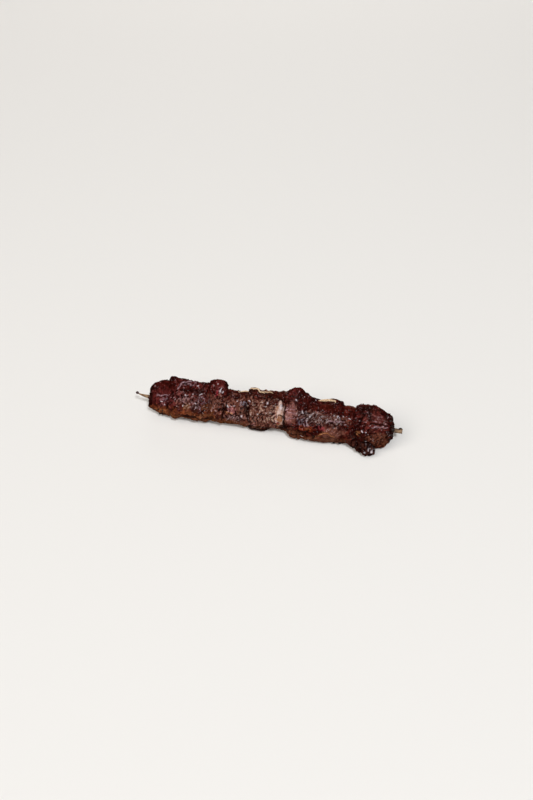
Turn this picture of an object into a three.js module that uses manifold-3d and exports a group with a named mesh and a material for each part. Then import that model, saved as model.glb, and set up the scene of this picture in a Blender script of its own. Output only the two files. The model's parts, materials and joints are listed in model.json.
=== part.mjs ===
// A beef kebab: nine pieces of grilled beef threaded tightly on a round bamboo skewer, lying on its side.
// Millimetres, +Z up. +X runs along the skewer from its point to its blunt end, and -Y is the front.
// Each piece of meat is a thick ring around the skewer. Its two ends follow the seams that it shares with
// its neighbours, and its outside is an uneven oval with folds, dents and a craggy crust.
import * as THREE from "three";
import { mergeVertices } from "three/addons/utils/BufferGeometryUtils.js";
import Module from "manifold-3d";

// Driving dimensions
const SKEWER_LENGTH = 200; // a 20 cm skewer
const SKEWER_RADIUS = 1.75;
const POINT_LENGTH = 14; // the tapered end
const POINT_BEND = { from: 11, back: 1.2, up: 1.2 }; // the point strays from the axis over this length
const BLUNT_EDGE = 0.35; // the broken edge of the blunt end
const AXIS_HEIGHT = 13.6; // the skewer's axis above the table
const MEAT_START = 11.5; // from the skewer's point to the first piece
const CLEARANCE = 0.3; // between touching solids
const GRID = 2.55; // the side of one facet of the crust, roughly
const AROUND = 36; // facets around a piece
const CAP_SHARES = [0.5]; // rings on a piece's end, as shares of the way from the skewer to its rim
const EDGE_STEPS = 3; // rings on a piece's rounded edge

const CRUMPLE = { cell: 7.5, depth: 1.9 }; // the meat's own unevenness
const CRUST = { cell: 3.1, depth: 0.9 }; // the craggy crust
const SEAM_WAVES = [2, 3, 5]; // the waves of a seam in one turn around the skewer
const SEAM_TURN = 1.7; // how far each seam's waves are turned from the last one's, in radians
const EDGE_UNEVEN = 0.35; // how far an edge's rounding strays from its mean, as a share
const EDGE_CELLS = 2; // the lattice radius of that unevenness: larger makes it vary faster around the edge

// The pieces in order from the point. Of each: its length along the skewer, its mean radius, how far its
// middle lies behind and above the skewer, how oval and how three-cornered its section is, as a share of
// the radius, and the angle that each of these points at. Angles go around the skewer from the front, 0,
// over the top, 90, to the back, 180.
const PIECES = [
  { name: "beef_1", length: 16, radius: 12.3, back: 0.6, up: 0.8, oval: [0.03, 60], corner: [0.03, 70] },
  { name: "beef_2", length: 30, radius: 14.5, back: 1.6, up: 0.6, oval: [0.05, 150], corner: [0.04, 100] },
  { name: "beef_3", length: 11.5, radius: 14.2, back: 1.6, up: 0.7, oval: [0.06, 130], corner: [0.03, 10] },
  { name: "beef_4", length: 18, radius: 13.4, back: 0.9, up: 0.3, oval: [0.04, 20], corner: [0.04, 60] },
  { name: "beef_5", length: 27, radius: 14.1, back: 1.2, up: 0.7, oval: [0.05, 120], corner: [0.02, 30] },
  { name: "beef_6", length: 10, radius: 13.6, back: 0.8, up: 0.6, oval: [0.04, 80], corner: [0.03, 80] },
  { name: "beef_7", length: 34, radius: 14, back: 0.2, up: 0.4, oval: [0.07, 160], corner: [0.03, 135] },
  { name: "beef_8", length: 9, radius: 13.1, back: 0.3, up: 0.2, oval: [0.05, 0], corner: [0.02, 0] },
  { name: "beef_9", length: 26, radius: 14.6, back: 0.3, up: 1.1, oval: [0.05, 90], corner: [0.05, 90] },
];

// The seam before each piece and the one after the last: its lean towards the back and towards the top, the
// depth of its waves at the crust, and how far the edges of the pieces that meet there are rounded, along
// the skewer and inwards. The first and last are the kebab's rounded ends.
const SEAMS = [
  { leanBack: 0.06, leanUp: 0.1, wave: 0.8, edge: 8.5, inset: 6.5 },
  { leanBack: -0.1, leanUp: -0.1, wave: 1.7, edge: 2.2, inset: 1.8 },
  { leanBack: -0.08, leanUp: -0.02, wave: 1.8, edge: 1.8, inset: 1.8 },
  { leanBack: -0.1, leanUp: 0.05, wave: 1.8, edge: 2.4, inset: 2.2 },
  { leanBack: -0.12, leanUp: -0.08, wave: 1.9, edge: 1.7, inset: 1.5 },
  { leanBack: -0.1, leanUp: -0.12, wave: 1.6, edge: 2, inset: 2.2 },
  { leanBack: -0.07, leanUp: 0, wave: 1.9, edge: 1.6, inset: 1.4 },
  { leanBack: 0, leanUp: -0.2, wave: 1.7, edge: 2.6, inset: 2.2 },
  { leanBack: -0.05, leanUp: -0.2, wave: 2.4, edge: 2.6, inset: 2.4 },
  { leanBack: -0.1, leanUp: 0.03, wave: 0.7, edge: 12.5, inset: 10.5 },
];

// Folds, lobes and dents: where along the skewer and around it, the half-length along, the half-width
// around in degrees, and the height, which is negative for a dent.
const FORMS = [
  { what: "upper back of the first piece", at: 22.5, angle: 124, long: 7, wide: 28, high: 3.2 },
  { what: "fold on top of the second piece", at: 42, angle: 106, long: 9, wide: 12, high: 3.2 },
  { what: "crease under that fold", at: 43, angle: 84, long: 9, wide: 6, high: -1.8 },
  { what: "front swelling of the second piece", at: 46.5, angle: 14, long: 6, wide: 18, high: 1.4 },
  { what: "dent beside the swelling", at: 37, angle: 22, long: 4, wide: 18, high: -1.2 },
  { what: "low front of the second piece", at: 38, angle: -48, long: 12, wide: 22, high: -3 },
  { what: "knob on the third piece", at: 64.5, angle: 116, long: 5, wide: 17, high: 2.4 },
  { what: "low front of the third piece", at: 63, angle: -46, long: 6, wide: 20, high: -2.2 },
  { what: "hole beside the third piece", at: 70, angle: 34, long: 2.6, wide: 10, high: -3.6 },
  { what: "crease across the fourth piece", at: 79, angle: 27, long: 8, wide: 6, high: -1.7 },
  { what: "lobe under that crease", at: 79, angle: 4, long: 8, wide: 15, high: 1.4 },
  { what: "low front of the fourth piece", at: 79, angle: -48, long: 8, wide: 20, high: -1.6 },
  { what: "crease above the charred lip", at: 98, angle: -22, long: 13, wide: 4, high: -1.3 },
  { what: "charred lip under the fifth piece", at: 92, angle: -44, long: 8, wide: 9, high: 1.2 },
  { what: "low front of the fifth piece", at: 109, angle: -46, long: 7, wide: 24, high: -4 },
  { what: "fatty edge of the fifth piece", at: 110.7, angle: 40, long: 3.3, wide: 38, high: 1.4 },
  { what: "hole under the fatty edge", at: 115.3, angle: -4, long: 2.6, wide: 13, high: -4 },
  { what: "knob behind the sixth piece", at: 122, angle: 126, long: 8, wide: 20, high: 8.2 },
  { what: "hollow beside that knob", at: 138, angle: 112, long: 7, wide: 22, high: -1.5 },
  { what: "small lower lobe", at: 120.5, angle: -42, long: 6, wide: 16, high: 3.8 },
  { what: "large lower lobe", at: 146, angle: -34, long: 11, wide: 15, high: 2.1 },
  { what: "notch between the lower lobes", at: 129, angle: -45, long: 2.6, wide: 16, high: -1.6 },
  { what: "crease above the lower lobes", at: 135, angle: -8, long: 16, wide: 5, high: -2 },
  { what: "ridge along the seventh piece", at: 140, angle: 34, long: 13, wide: 12, high: 1.3 },
  { what: "groove of the eighth piece", at: 162.5, angle: 60, long: 3.5, wide: 60, high: -1.2 },
  { what: "shoulder of the last piece", at: 175, angle: 62, long: 7, wide: 24, high: 1.4 },
  { what: "crease across the last piece", at: 184, angle: 36, long: 8, wide: 5, high: -1.4 },
  { what: "hollow where the charred lobe lies", at: 172, angle: -38, long: 7, wide: 18, high: -3.4 },
  { what: "undercut of the last piece's end", at: 192, angle: -12, long: 4, wide: 40, high: -2.2 },
  { what: "belly of the last piece", at: 184, angle: -42, long: 7, wide: 20, high: 1.9 },
  { what: "slope at the top of that end", at: 192, angle: 64, long: 8, wide: 36, high: -3.4 },
  { what: "rounding of its other end", at: 168.5, angle: 98, long: 4, wide: 50, high: -1.6 },
  { what: "lobe at the back of the second piece", at: 47, angle: 196, long: 9, wide: 24, high: 2.2 },
  { what: "crease at the back of the fourth piece", at: 81, angle: 176, long: 9, wide: 7, high: -2 },
  { what: "lobe at the back of the fifth piece", at: 101, angle: 200, long: 9, wide: 20, high: 2.4 },
  { what: "fold at the back of the seventh piece", at: 143, angle: 186, long: 13, wide: 12, high: 3 },
  { what: "crease under that fold", at: 143, angle: 208, long: 12, wide: 7, high: -2 },
  { what: "lobe at the back of the last piece", at: 180, angle: 172, long: 8, wide: 20, high: 2 },
];

// The charred lobe that hangs from the eighth piece and lies on the table against the last one
const LOBE = {
  root: new THREE.Vector3(160.5, -5, -3.5), // from the skewer's point, and from its axis
  bend: new THREE.Vector3(169.5, -11.5, -5.8),
  tip: new THREE.Vector3(181.8, -17.2, -7.6),
  width: 11.5,
  thickness: 12,
  swell: 0.22, // how uneven its thickness is, as a share
};

const degrees = THREE.MathUtils.degToRad;
const lerp = THREE.MathUtils.lerp;

// A fixed pseudo-random value from 0 to 1 for each corner of a cubic lattice
function latticeValue(i, j, k) {
  let h = Math.imul(i, 374761393) + Math.imul(j, 668265263) + Math.imul(k, 1274126177);
  h = Math.imul(h ^ (h >>> 13), 1103515245);
  h = Math.imul(h ^ (h >>> 16), 2246822519);
  return ((h ^ (h >>> 15)) >>> 0) / 2 ** 32;
}

// Smooth noise from -1 to 1 in space, with lumps about one cell across
function noise(x, y, z, cell) {
  const at = [x / cell, y / cell, z / cell];
  const low = at.map(Math.floor);
  const share = at.map((value, axis) => {
    const t = value - low[axis];
    return t * t * (3 - 2 * t);
  });
  let sum = 0;
  for (let corner = 0; corner < 8; corner++) {
    const step = [corner & 1, (corner >> 1) & 1, corner >> 2];
    const weight = step.reduce((w, s, axis) => w * (s ? share[axis] : 1 - share[axis]), 1);
    sum += weight * latticeValue(low[0] + step[0], low[1] + step[1], low[2] + step[2]);
  }
  return 2 * sum - 1;
}

// The x of a seam at a place across the skewer: a leaning plane whose waves grow from the skewer outwards
function seamAt(index, y, z) {
  const start = MEAT_START + PIECES.slice(0, index).reduce((sum, piece) => sum + piece.length, 0);
  const { leanBack, leanUp, wave } = SEAMS[index];
  const turn = Math.atan2(z, -y);
  const offset = SEAM_TURN * index;
  const ripple = SEAM_WAVES.reduce((sum, waves) => sum + Math.sin(waves * (turn + offset)) / waves, 0);
  const share = Math.hypot(y, z) / AXIS_HEIGHT;
  return start + leanBack * y + leanUp * z + wave * ripple * share;
}

// What the folds, lobes and dents add to the radius
function formHeight(x, angle) {
  return FORMS.reduce((sum, form) => {
    const around = (((angle - form.angle + 540) % 360) - 180) / form.wide;
    const along = (x - form.at) / form.long;
    return sum + form.high * Math.exp(-(around * around + along * along));
  }, 0);
}

// The outside of a piece in the plane across the skewer, at a place along it, moved outwards by grow
function outside(piece, x, angle, grow) {
  const turn = degrees(angle);
  const lobes = ([share, at], count) => share * Math.cos(count * (turn - degrees(at)));
  const smooth = piece.radius * (1 + lobes(piece.oval, 2) + lobes(piece.corner, 3)) + formHeight(x, angle);
  const y = -Math.cos(turn) * smooth;
  const z = Math.sin(turn) * smooth;
  const crumple = CRUMPLE.depth * noise(x, y, z, CRUMPLE.cell);
  const crust = CRUST.depth * noise(x, y, z, CRUST.cell);
  const share = (smooth + crumple + crust + grow) / smooth;
  return { y: piece.back + y * share, z: piece.up + z * share };
}

// How far a piece's edge is rounded at an angle around the skewer, along it and inwards
function edgeAt(index, angle) {
  const { edge, inset } = SEAMS[index];
  const turn = degrees(angle);
  const [around, up] = [Math.cos(turn) * EDGE_CELLS, Math.sin(turn) * EDGE_CELLS];
  const share = 1 + EDGE_UNEVEN * noise(around, up, index + 0.5, 1);
  return { edge: edge * share, inset: inset * share };
}

// The section of a piece at an angle around the skewer, from the skewer's hole out along one end, over the
// outside and back down the other end. Of each of its points: the share of the way from one seam to the
// other, and of the way out to the crust.
function sectionOf(piece, index, angle) {
  const left = edgeAt(index, angle);
  const right = edgeAt(index + 1, angle);
  const edgePoint = ({ edge, inset }, step) => {
    const turn = (step / EDGE_STEPS) * (Math.PI / 2);
    const [along, inwards] = [edge * (1 - Math.cos(turn)), inset * (1 - Math.sin(turn))];
    return { along: along / piece.length, out: 1 - inwards / piece.radius };
  };
  const endPoints = (rounding) => {
    const rim = edgePoint(rounding, 0).out;
    const flat = [0, ...CAP_SHARES].map((share) => ({ along: 0, out: share * rim }));
    const rounded = Array.from({ length: EDGE_STEPS }, (_, step) => edgePoint(rounding, step));
    return [...flat, ...rounded];
  };
  const rows = Math.max(2, Math.round((piece.length - SEAMS[index].edge - SEAMS[index + 1].edge) / GRID));
  const straight = Array.from({ length: rows + 1 }, (_, row) => ({
    along: lerp(left.edge, piece.length - right.edge, row / rows) / piece.length,
    out: 1,
  }));
  const mirrored = endPoints(right).map(({ along, out }) => ({ along: 1 - along, out }));
  return [...endPoints(left), ...straight, ...mirrored.reverse()];
}

// The closed surface of a piece, in the skewer's own frame: x from its point, y and z from its axis
function pieceGeometry(index, grow = 0) {
  const piece = PIECES[index];
  const hole = SKEWER_RADIUS + CLEARANCE;
  const start = seamAt(index, 0, 0);
  const positions = [];
  let points = 0;
  for (let step = 0; step < AROUND; step++) {
    const angle = (360 * step) / AROUND;
    const section = sectionOf(piece, index, angle);
    points = section.length;
    for (const { along, out } of section) {
      const rim = outside(piece, start + along * piece.length, angle, grow);
      const y = lerp(-Math.cos(degrees(angle)) * hole, rim.y, out);
      const z = Math.max(lerp(Math.sin(degrees(angle)) * hole, rim.z, out), -AXIS_HEIGHT);
      const low = seamAt(index, y, z) + CLEARANCE / 2 - grow;
      const high = seamAt(index + 1, y, z) - CLEARANCE / 2 + grow;
      positions.push(lerp(low, high, along), y, z);
    }
  }
  const faces = [];
  for (let step = 0; step < AROUND; step++) {
    const beside = (step + 1) % AROUND;
    for (let point = 0; point < points; point++) {
      const next = (point + 1) % points;
      const [a, b] = [step * points + point, beside * points + point];
      const [c, d] = [beside * points + next, step * points + next];
      faces.push(a, c, b, a, d, c);
    }
  }
  return new THREE.BufferGeometry()
    .setAttribute("position", new THREE.Float32BufferAttribute(positions, 3))
    .setIndex(faces);
}

// The charred lobe: a ball drawn out along its bent spine, flattened and craggy
function lobeGeometry() {
  const spine = new THREE.QuadraticBezierCurve3(LOBE.root, LOBE.bend, LOBE.tip);
  const ball = new THREE.SphereGeometry(1, 18, 16);
  ball.rotateX(Math.PI / 2);
  const position = ball.getAttribute("position");
  const up = new THREE.Vector3(0, 0, 1);
  for (let i = 0; i < position.count; i++) {
    const [side, height, along] = [position.getX(i), position.getY(i), position.getZ(i)];
    const middle = spine.getPoint((along + 1) / 2);
    const across = spine.getTangent((along + 1) / 2).cross(up).negate().normalize();
    const swell = 1 + LOBE.swell * noise(middle.x + 3 * side, middle.y, middle.z + 3 * height, CRUST.cell);
    middle.addScaledVector(across, (side * swell * LOBE.width) / 2);
    middle.z = Math.max(middle.z + (height * swell * LOBE.thickness) / 2, -AXIS_HEIGHT);
    position.setXYZ(i, middle.x, middle.y, middle.z);
  }
  return ball;
}

// The skewer, round and tapered, with its point bent a little out of line
function skewerGeometry() {
  const profile = [
    new THREE.Vector2(0, 0),
    new THREE.Vector2(SKEWER_RADIUS * 0.2, POINT_LENGTH * 0.05),
    new THREE.Vector2(SKEWER_RADIUS * 0.72, POINT_LENGTH * 0.55),
    new THREE.Vector2(SKEWER_RADIUS, POINT_LENGTH),
    new THREE.Vector2(SKEWER_RADIUS, SKEWER_LENGTH - BLUNT_EDGE),
    new THREE.Vector2(SKEWER_RADIUS - BLUNT_EDGE, SKEWER_LENGTH),
    new THREE.Vector2(0, SKEWER_LENGTH),
  ];
  const skewer = new THREE.LatheGeometry(profile, 16).rotateZ(-Math.PI / 2);
  const position = skewer.getAttribute("position");
  for (let i = 0; i < position.count; i++) {
    const bend = Math.max(0, 1 - position.getX(i) / POINT_BEND.from) ** 2;
    position.setY(i, position.getY(i) + POINT_BEND.back * bend);
    position.setZ(i, position.getZ(i) + POINT_BEND.up * bend);
  }
  return skewer;
}

// Solids for the one place where two shapes are joined
const wasm = await Module();
wasm.setup();

function solidOf(geometry) {
  const bare = geometry.clone();
  bare.deleteAttribute("normal");
  bare.deleteAttribute("uv");
  const merged = mergeVertices(bare, 1e-4);
  return new wasm.Manifold(
    new wasm.Mesh({
      numProp: 3,
      vertProperties: new Float32Array(merged.getAttribute("position").array),
      triVerts: new Uint32Array(merged.index.array),
    }),
  );
}

function geometryOf(solid) {
  const { vertProperties, triVerts } = solid.getMesh();
  return new THREE.BufferGeometry()
    .setAttribute("position", new THREE.BufferAttribute(vertProperties, 3))
    .setIndex(new THREE.BufferAttribute(triVerts, 1));
}

// The eighth piece with its lobe, which stays clear of the pieces on both sides
function lobedPieceGeometry(index) {
  const neighbours = [index - 1, index + 1].map((beside) => solidOf(pieceGeometry(beside, CLEARANCE)));
  const clear = neighbours.reduce((lobe, beside) => lobe.subtract(beside), solidOf(lobeGeometry()));
  const joined = solidOf(pieceGeometry(index)).add(clear);
  const largest = joined.decompose().reduce((a, b) => (b.volume() > a.volume() ? b : a));
  return geometryOf(largest);
}

// Materials
const seared = new THREE.MeshStandardMaterial({ color: 0x3d1a18, roughness: 0.45, metalness: 0 });
const browned = new THREE.MeshStandardMaterial({ color: 0x6b4c3e, roughness: 0.55, metalness: 0 });
const charred = new THREE.MeshStandardMaterial({ color: 0x2a1a16, roughness: 0.5, metalness: 0 });
const bamboo = new THREE.MeshStandardMaterial({ color: 0xd9b98a, roughness: 0.7, metalness: 0 });

const BROWNED_PIECES = ["beef_4", "beef_5"];
const CHARRED_PIECE = "beef_8";

function materialOf(name) {
  if (name === CHARRED_PIECE) return charred;
  return BROWNED_PIECES.includes(name) ? browned : seared;
}

// Assembly: everything is modelled around the skewer, and then set with the middle of its base at the origin
const kebab = new THREE.Group();
const threaded = new THREE.Group();
kebab.add(threaded);

const skewer = new THREE.Mesh(skewerGeometry(), bamboo);
skewer.name = "skewer";
threaded.add(skewer);

PIECES.forEach((piece, index) => {
  const geometry = piece.name === CHARRED_PIECE ? lobedPieceGeometry(index) : pieceGeometry(index);
  const mesh = new THREE.Mesh(geometry, materialOf(piece.name));
  mesh.name = piece.name;
  threaded.add(mesh);
});

const bounds = new THREE.Box3().setFromObject(threaded);
const middle = bounds.getCenter(new THREE.Vector3());
threaded.position.set(-middle.x, -middle.y, AXIS_HEIGHT);

export default kebab;
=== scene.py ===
# A grilled beef kebab on a bamboo skewer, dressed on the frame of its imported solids.
# Blender works in metres. The sizes and places written here are millimetres in the skewer's own frame: "at"
# runs along the skewer from its point, and angles go around it, from the front, 0, over the top, 90, to the
# back, 180.
import json
import math
from collections import namedtuple

import bpy
import numpy as np
from mathutils import Euler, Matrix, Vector
from mathutils.bvhtree import BVHTree


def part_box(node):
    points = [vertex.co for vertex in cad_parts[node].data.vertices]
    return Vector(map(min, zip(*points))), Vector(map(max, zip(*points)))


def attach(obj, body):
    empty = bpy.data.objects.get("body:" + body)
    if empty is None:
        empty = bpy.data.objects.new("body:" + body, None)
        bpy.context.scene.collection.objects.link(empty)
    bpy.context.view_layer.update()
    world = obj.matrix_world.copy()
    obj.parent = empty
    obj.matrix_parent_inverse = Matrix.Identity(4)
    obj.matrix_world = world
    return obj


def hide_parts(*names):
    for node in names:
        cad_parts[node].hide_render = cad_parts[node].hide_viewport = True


MM = 0.001

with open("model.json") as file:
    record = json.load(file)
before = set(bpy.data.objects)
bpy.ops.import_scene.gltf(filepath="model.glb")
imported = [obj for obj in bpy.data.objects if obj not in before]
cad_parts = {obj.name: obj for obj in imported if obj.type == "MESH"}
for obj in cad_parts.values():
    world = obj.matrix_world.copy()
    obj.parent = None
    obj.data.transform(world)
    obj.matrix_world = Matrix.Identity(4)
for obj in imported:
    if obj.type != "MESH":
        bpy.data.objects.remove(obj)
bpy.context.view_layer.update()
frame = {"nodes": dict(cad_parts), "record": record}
skewer_low, skewer_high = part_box("skewer")
START = skewer_low.x  # the skewer's point
LENGTH = (skewer_high.x - skewer_low.x) / MM
RADIUS = (skewer_high.z - skewer_low.z) / 2 / MM
AXIS = (skewer_low + skewer_high) / 2
AXIS_HEIGHT = AXIS.z / MM
ORIGIN = np.array((START, AXIS.y, AXIS.z))  # the skewer's point, on its axis


# Camera, light and floor

CAMERA = {"at": (172.88, -387.58, 419.68), "pitch": 44.17, "turn": 10.668}
LENS = {"length": 35.01, "sensor": 36, "near": 10}
FLOOR = {"size": 6000, "colour": (0.80, 0.78, 0.75), "roughness": 0.9, "specular": 0.1}
WORLD_LIGHT = 0.03
BACKDROP = (0.80, 0.79, 0.77)
# Of each light: where it is from the kebab's middle, its size, its power in watts, its colour, whether it
# shows in glossy surfaces, and whether it casts shadows
Light = namedtuple("Light", "at size power colour glints shadow")
LIGHTS = {
    "key": Light((750, -1575, 2500), 420, 60, (0.93, 0.96, 1.0), True, True),
    "fill": Light((-1500, -1900, 2900), 2800, 69, (1.0, 0.96, 0.91), False, True),
    "top": Light((300, -200, 3400), 2600, 12, (1.0, 0.98, 0.94), False, True),
    "back": Light((-300, 2200, 850), 1800, 26, (1.0, 0.98, 0.96), False, False),
}


def metres(at, across=0.0, up=0.0):
    """A place in the skewer's frame as a point of the scene"""
    return Vector((START + at * MM, AXIS.y + across * MM, AXIS.z + up * MM))


def new_object(name, data):
    thing = bpy.data.objects.new(name, data)
    bpy.context.scene.collection.objects.link(thing)
    return thing


def make_camera():
    camera = new_object("camera", bpy.data.cameras.new("camera"))
    camera.data.lens = LENS["length"]
    camera.data.sensor_width = LENS["sensor"]
    camera.data.clip_start = LENS["near"] * MM
    camera.location = metres(*CAMERA["at"])
    camera.rotation_euler = Euler((math.radians(CAMERA["pitch"]), 0, math.radians(CAMERA["turn"])))
    bpy.context.scene.camera = camera


def make_lights():
    middle = metres(LENGTH / 2)
    for name, light in LIGHTS.items():
        data = bpy.data.lights.new(name, "AREA")
        data.shape = "DISK"
        data.size = light.size * MM
        data.energy = light.power
        data.color = light.colour
        data.use_shadow = light.shadow
        lamp = new_object(name, data)
        lamp.location = middle + Vector(light.at) * MM
        lamp.rotation_euler = (lamp.location - middle).to_track_quat("Z", "Y").to_euler()
        lamp.visible_glossy = light.glints


def make_room():
    """A faint even light from all around. To the camera it looks like a plain pale wall."""
    world = bpy.data.worlds.new("room")
    world.use_nodes = True
    tree = world.node_tree
    glow = tree.nodes["Background"]
    glow.inputs["Color"].default_value = (1, 1, 1, 1)
    glow.inputs["Strength"].default_value = WORLD_LIGHT
    backdrop = tree.nodes.new("ShaderNodeBackground")
    backdrop.inputs["Color"].default_value = (*BACKDROP, 1)
    mix = tree.nodes.new("ShaderNodeMixShader")
    tree.links.new(tree.nodes.new("ShaderNodeLightPath").outputs["Is Camera Ray"], mix.inputs["Fac"])
    tree.links.new(glow.outputs["Background"], mix.inputs[1])
    tree.links.new(backdrop.outputs["Background"], mix.inputs[2])
    tree.links.new(mix.outputs["Shader"], tree.nodes["World Output"].inputs["Surface"])
    bpy.context.scene.world = world
    bpy.context.scene.view_settings.view_transform = "Standard"


def make_floor():
    half = FLOOR["size"] * MM / 2
    corners = [(-half, -half, 0), (half, -half, 0), (half, half, 0), (-half, half, 0)]
    mesh = bpy.data.meshes.new("floor")
    mesh.from_pydata(corners, [], [(0, 1, 2, 3)])
    floor = new_object("floor", mesh)
    material, graph = new_material("floor")
    graph.paint(FLOOR["colour"], FLOOR["roughness"])
    graph.feed(graph.shader.inputs["Specular IOR Level"], FLOOR["specular"])
    mesh.materials.append(material)
    floor.visible_glossy = False  # so pale a floor would veil the dark glaze


# Noise in space, worked out for many points at once. Every pattern has its own seed.

GRADIENTS = np.array(
    [(1, 1, 0), (-1, 1, 0), (1, -1, 0), (-1, -1, 0), (1, 0, 1), (-1, 0, 1), (1, 0, -1), (-1, 0, -1)]
    + [(0, 1, 1), (0, -1, 1), (0, 1, -1), (0, -1, -1)],
    float,
)
CORNERS = [np.array(corner) for corner in np.ndindex(2, 2, 2)]
# The factors and shifts of an integer hash, which gives neighbouring cells unrelated values
HASH_AXES = (374761393, 668265263, 1274126177)
HASH_SEED = (97531, 12345)
HASH_ROUNDS = ((13, 1103515245), (16, 2246822519))
HASH_LAST_SHIFT = 15
NOISE_REACH = 1.6  # brings the noise's usual range to about -1 to 1


def lattice(cells, seed):
    """A fixed pseudo-random value from 0 to 1 for each cell of a cubic lattice"""
    value = np.uint32(seed * HASH_SEED[0] + HASH_SEED[1])
    for axis, factor in enumerate(HASH_AXES):
        value = value + cells[:, axis].astype(np.int64).astype(np.uint32) * np.uint32(factor)
    for shift, factor in HASH_ROUNDS:
        value = (value ^ (value >> np.uint32(shift))) * np.uint32(factor)
    return (value ^ (value >> np.uint32(HASH_LAST_SHIFT))) / 2**32


def noise(points, cell, seed):
    """Smooth noise from -1 to 1, with lumps about one cell across"""
    at = points / cell
    low = np.floor(at)
    share = at - low
    fade = share**3 * (share * (share * 6 - 15) + 10)
    total = np.zeros(len(points))
    for corner in CORNERS:
        pick = (lattice(low + corner, seed) * len(GRADIENTS)).astype(int)
        slope = ((share - corner) * GRADIENTS[pick]).sum(axis=1)
        total += slope * np.prod(np.where(corner, fade, 1 - fade), axis=1)
    return np.clip(total * NOISE_REACH, -1, 1)


def warp(points, cell, reach, seed):
    """The points moved about by noise, so that a pattern laid on them wanders"""
    return points + reach * np.stack([noise(points, cell, seed + axis) for axis in range(3)], axis=1)


def ridges(points, cell, thin, seed):
    """A network of thin winding ridges, 1 on their crests and 0 between them"""
    return np.clip(1 - thin * np.abs(noise(points, cell, seed)), 0, 1)


def smooth_step(low, high, value):
    """0 at low, 1 at high and smooth between. With high below low it falls as the value grows."""
    share = np.clip((value - low) / (high - low), 0, 1)
    return share * share * (3 - 2 * share)


def level(points, name):
    """How much a pattern shows at each point, from nothing at the first of its levels to 1 at the second"""
    return smooth_step(*LEVELS[name], noise(points, *PATTERNS[name]))


# The beef's surface

VOXEL = 0.33  # the side of one face of the dressed meat
SMOOTHING = {"rounds": 24, "share": 0.6}  # takes the solids' facets away
SEAM_GAP_SHARE = 0.45  # how much of the gap to a neighbour a bump may fill
SEAM_REACH = 2.4  # how near its neighbour a place counts as being at the seam
SEAM_TOUCH = 1.0  # how near it has to be to be drawn up to it
SEAM_DRAW = 0.55  # how much of the gap each of the two pieces closes there
SEAM_ROUNDS = 4  # how often the drawn-up meat is smoothed
# The meat's outer radius is read on a grid, to close the grooves between the pieces
SKIN = {"from": 10, "to": 197, "step": 0.5, "turn": 3, "outside": 40, "reach": 6, "most": 2.6}
SKIN_DEPTH = (2.2, 0.6)  # how far below that radius a point stays in place, and how far it moves in full
SKIN_FILL = (0.75, 0.35)  # how much of a groove is filled, and how much that varies

# The direction of the meat's fibres in each piece, how deep its folds and its wrinkles are, and the size of
# the wrinkles' cells
Grain = namedtuple("Grain", "along folds wrinkles cell", defaults=[2.3])
GRAIN = {
    "beef_1": Grain((0.2, 0.4, 0.9), 0.55, 0.34),
    "beef_2": Grain((0.5, 0.6, 0.6), 0.7, 0.46),
    "beef_3": Grain((0.3, 0.7, 0.6), 0.65, 0.46),
    "beef_4": Grain((0.3, 0.5, 0.8), 0.6, 0.42),
    "beef_5": Grain((0.35, 0.3, 0.9), 0.45, 0.5, 1.9),
    "beef_6": Grain((0.1, 0.4, 0.9), 0.5, 0.4),
    "beef_7": Grain((0.6, 0.5, 0.6), 0.65, 0.5),
    "beef_8": Grain((0.8, 0.3, 0.5), 0.6, 0.42),
    "beef_9": Grain((0.95, 0.2, 0.2), 0.7, 0.42),
}
FIBRE_DRAW = 2.6  # how much longer a fibre is than it is wide
WRINKLE = {"thin": 2.1, "seed": 40}
SMALL_DEPTH = 0.3
FINE_DEPTH = 0.13
PIT_DEPTH = 0.65
PORE_DEPTH = 0.4
MEAN = {"fold": 0.4, "wrinkle": 0.35, "small": 0.4}  # the mean heights of ridges, taken off to keep the size
BREAK_LEFT = 0.3  # what is left of a wrinkle where it breaks off
ROUGHNESS = (0.35, 0.9)  # how rough the calmest meat is, and how much rougher the roughest
CREST_PARTS = {"wrinkle": 0.65, "small": 0.6, "fine": 0.25, "pit": 0.6}  # what makes a crest stand out

# The patterns of noise: the size of their cells, then how far a warp moves a point or how thin ridges are,
# and last the seed
PATTERNS = {
    "wander": (5.0, 1.1, 20),
    "fold": (6.5, 1.7, 30),
    "small": (1.35, 1.8, 44),
    "small wander": (2.5, 0.5, 46),
    "fine": (0.8, 50),
    "pit": (1.9, 60),
    "pore": (1.15, 61),
    "rough": (8, 65),
    "break": (2.4, 66),
    "line wander": (2.6, 0.55, 70),
    "crag": (2.3, 72),
    "crag wander": (3, 0.8, 73),
    "fibre": (1.0, 80),
    "broken end": (1.0, 84),
    "mottle": (2.0, 86),
    "groove": (5.0, 90),
    "seam": (3.0, 95),
}
LEVELS = {
    "pit": (0.25, 0.7),
    "pore": (0.25, 0.6),
    "rough": (-0.6, 0.5),
    "break": (-0.35, 0.25),
    "seam": (-0.5, 0.5),
}

# The tones, from the deepest layer up: each is laid over those before it. Colours are linear.
TONES = {
    "plum": (0.084, 0.0125, 0.0110),
    "brown": (0.116, 0.035, 0.0115),
    "grey": (0.130, 0.044, 0.030),
    # A painted sheen, on patches and along ridges
    "painted_lilac_sheen": (0.26, 0.150, 0.165),
    "brick": (0.110, 0.015, 0.005),
    "mauve": (0.105, 0.034, 0.018),
    "pink": (0.27, 0.092, 0.092),
    "fat": (0.58, 0.41, 0.36),
    "tan": (0.25, 0.090, 0.034),
    "red": (0.19, 0.018, 0.023),
    "char": (0.012, 0.0028, 0.0016),
}
PAINTED_GLINT_TONE = (0.72, 0.64, 0.68)
# Painted sparkle: small highlights on the crests
PAINTED_SPARKLE_TONE = (0.46, 0.34, 0.36)
# Painted shade, laid in creases, pits and seams
PAINTED_SHADE_TONE = (0.012, 0.0009, 0.0005)
FAT_SHADE = (0.40, 0.18, 0.10)  # the browned parts of the fat
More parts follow.
